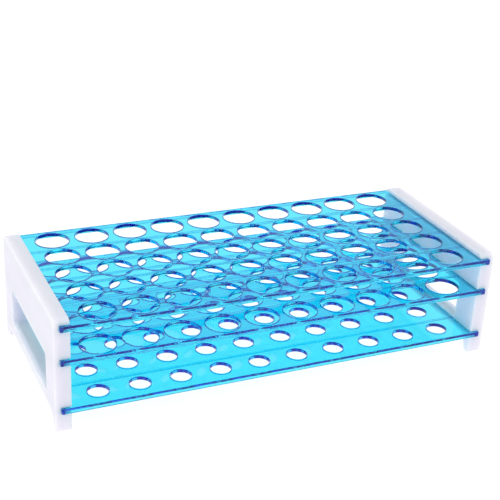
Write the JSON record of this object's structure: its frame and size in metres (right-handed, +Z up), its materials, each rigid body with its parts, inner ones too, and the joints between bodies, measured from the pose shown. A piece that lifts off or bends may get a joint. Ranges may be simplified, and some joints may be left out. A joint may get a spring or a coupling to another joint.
{
  "type": "test tube rack",
  "caption": "Test tube rack: grooved upright end panels hold stacked clear trays pierced with a grid of round holes; each tray slides out and the end panels pull off.",
  "frame": {"origin": "on the table, under the middle of the rack: the centre of the bounding box's bottom face", "axes": "+X along the rack's length from the left end panel to the right one, +Y from front to back, +Z up"},
  "size_m": [0.2524, 0.1094, 0.0626],
  "materials": {
    "white_plastic": "satin, slightly translucent moulded plastic",
    "clear_blue_plastic": "glossy, transparent, tinted through"
  },
  "bodies": {
    "left_end_panel": {"left_end_panel": "white_plastic"},
    "right_end_panel": {"right_end_panel": "white_plastic"},
    "top_tray": {"top_tray": "clear_blue_plastic"},
    "middle_tray": {"middle_tray": "clear_blue_plastic"},
    "bottom_tray": {"bottom_tray": "clear_blue_plastic"}
  },
  "joints": [
    {"name": "top_tray_slide", "type": "slide", "parent": "left_end_panel", "child": "top_tray", "axis": [0, -1, 0], "range_m": [-0.11, 0.11]},
    {"name": "middle_tray_slide", "type": "slide", "parent": "left_end_panel", "child": "middle_tray", "axis": [0, -1, 0], "range_m": [-0.11, 0.11]},
    {"name": "bottom_tray_slide", "type": "slide", "parent": "left_end_panel", "child": "bottom_tray", "axis": [0, -1, 0], "range_m": [-0.11, 0.11]},
    {"name": "right_end_panel_pull", "type": "slide", "parent": "left_end_panel", "child": "right_end_panel", "axis": [1, 0, 0], "range_m": [0, 0.02]}
  ]
}
